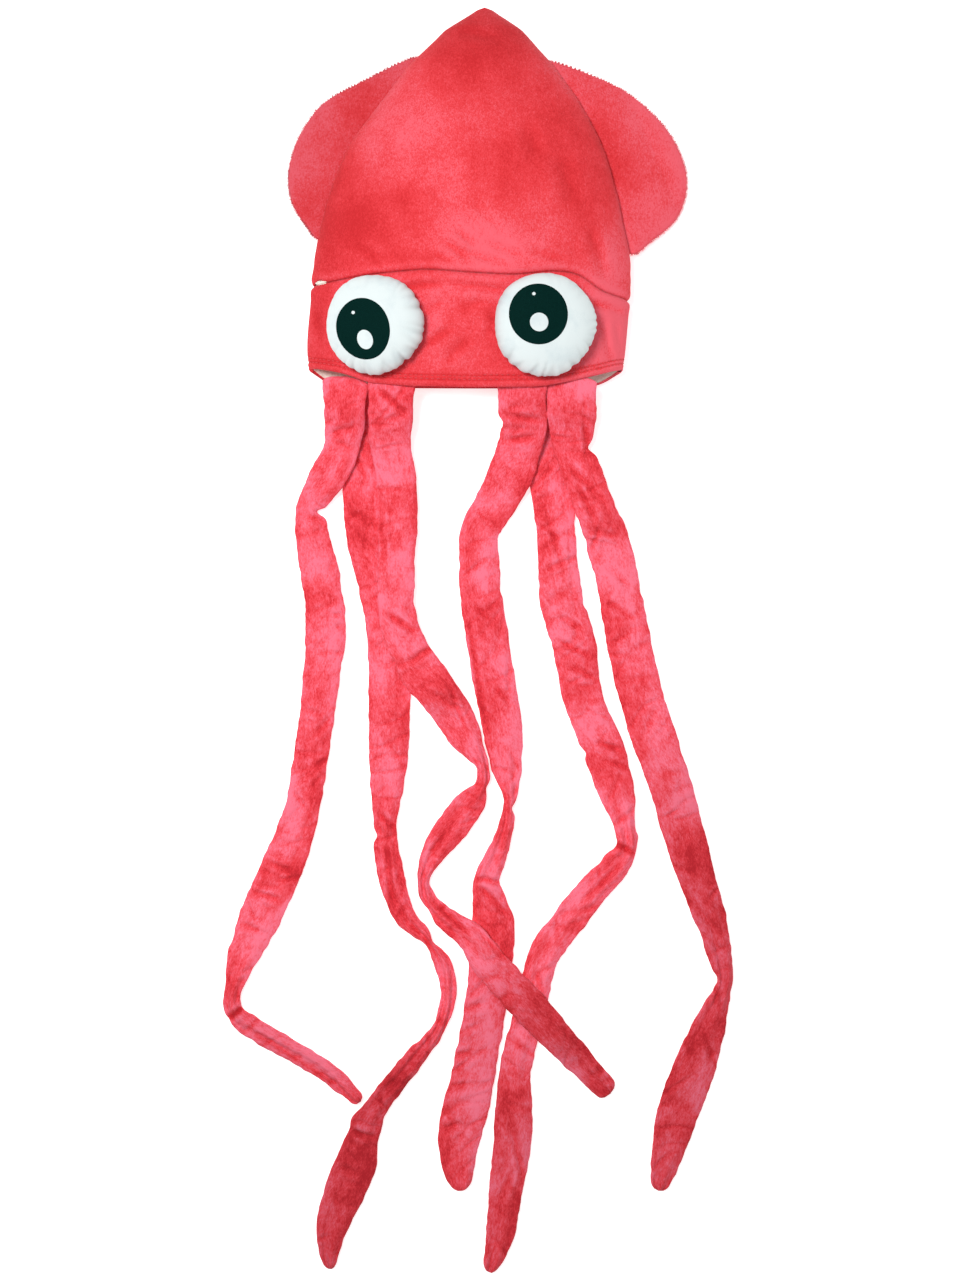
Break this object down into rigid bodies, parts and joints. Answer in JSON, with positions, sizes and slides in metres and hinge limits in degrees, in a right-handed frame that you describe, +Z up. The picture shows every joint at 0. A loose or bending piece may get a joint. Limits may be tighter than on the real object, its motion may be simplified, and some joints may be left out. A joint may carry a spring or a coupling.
{
  "type": "squid costume hat",
  "caption": "Plush squid hat lying flat: pointed mantle with padded side fins, face band with stuffed eyes, and long flat fabric tentacles sewn along the rim.",
  "frame": {"origin": "centre of the object's footprint, on the surface it lies on", "axes": "+X to the right of the face, +Y from the tentacle ends to the pointed tip of the mantle, +Z up out of the face; the hat lies on its back on z = 0"},
  "size_m": [0.4564, 1.1303, 0.0891],
  "materials": {
    "red_plush": "matte",
    "white_plush": "matte",
    "pupil_print": "satin",
    "cream_lining": "matte",
    "polyester_fill": "matte",
    "red_thread": "matte"
  },
  "bodies": {
    "hat": {"mantle_front_plush": "red_plush", "mantle_back_plush": "red_plush", "band_front_plush": "red_plush", "band_back_plush": "red_plush", "hat_wadding": "polyester_fill", "hem_binding": "red_plush", "head_lining_front": "cream_lining", "head_lining_back": "cream_lining", "hem_topstitching": "red_thread", "left_eye_cover": "white_plush", "left_eye_stuffing": "polyester_fill", "left_eye_pupil": "pupil_print", "right_eye_cover": "white_plush", "right_eye_stuffing": "polyester_fill", "right_eye_pupil": "pupil_print", "left_fin_root": "red_plush", "right_fin_root": "red_plush"},
    "left_fin": {"left_fin_front_plush": "red_plush", "left_fin_wadding": "polyester_fill", "left_fin_back_plush": "red_plush"},
    "right_fin": {"right_fin_front_plush": "red_plush", "right_fin_wadding": "polyester_fill", "right_fin_back_plush": "red_plush"},
    "tentacle_1": {"tentacle_1_upper_strip": "red_plush", "tentacle_1_lower_strip": "red_plush"},
    "tentacle_2": {"tentacle_2_upper_strip": "red_plush", "tentacle_2_lower_strip": "red_plush"},
    "tentacle_3": {"tentacle_3_upper_strip": "red_plush", "tentacle_3_lower_strip": "red_plush"},
    "tentacle_4": {"tentacle_4_upper_strip": "red_plush", "tentacle_4_lower_strip": "red_plush"},
    "tentacle_5": {"tentacle_5_upper_strip": "red_plush", "tentacle_5_lower_strip": "red_plush"},
    "tentacle_6": {"tentacle_6_upper_strip": "red_plush", "tentacle_6_lower_strip": "red_plush"}
  },
  "joints": [
    {"name": "left_fin_fold", "type": "hinge", "parent": "hat", "child": "left_fin", "pos_m": [-0.1276, 0.44515, 0.011], "axis": [0.4723, 0.8814, 0], "range_deg": [-30, 70], "stiffness_Nm_per_rad": 0.15},
    {"name": "right_fin_fold", "type": "hinge", "parent": "hat", "child": "right_fin", "pos_m": [0.12495, 0.4361, 0.011], "axis": [0.3998, -0.9166, 0], "range_deg": [-30, 70], "stiffness_Nm_per_rad": 0.2},
    {"name": "tentacle_1_lift", "type": "hinge", "parent": "hat", "child": "tentacle_1", "pos_m": [-0.118, 0.2256, 0.042], "axis": [-1, 0, 0], "range_deg": [0, 115]},
    {"name": "tentacle_2_droop", "type": "hinge", "parent": "hat", "child": "tentacle_2", "pos_m": [-0.096, 0.2256, 0], "axis": [-1, 0, 0], "range_deg": [-115, 0]},
    {"name": "tentacle_3_lift", "type": "hinge", "parent": "hat", "child": "tentacle_3", "pos_m": [-0.077, 0.2256, 0.049], "axis": [-1, 0, 0], "range_deg": [0, 115]},
    {"name": "tentacle_4_lift", "type": "hinge", "parent": "hat", "child": "tentacle_4", "pos_m": [0.038, 0.2256, 0.049], "axis": [-1, 0, 0], "range_deg": [0, 115]},
    {"name": "tentacle_5_droop", "type": "hinge", "parent": "hat", "child": "tentacle_5", "pos_m": [0.062, 0.2256, 0], "axis": [-1, 0, 0], "range_deg": [-115, 0]},
    {"name": "tentacle_6_lift", "type": "hinge", "parent": "hat", "child": "tentacle_6", "pos_m": [0.081, 0.2256, 0.044], "axis": [-1, 0, 0], "range_deg": [0, 115]}
  ],
  "couplings": [
    {"joint": "tentacle_4_lift", "follows": "tentacle_3_lift", "ratio": 1}
  ]
}
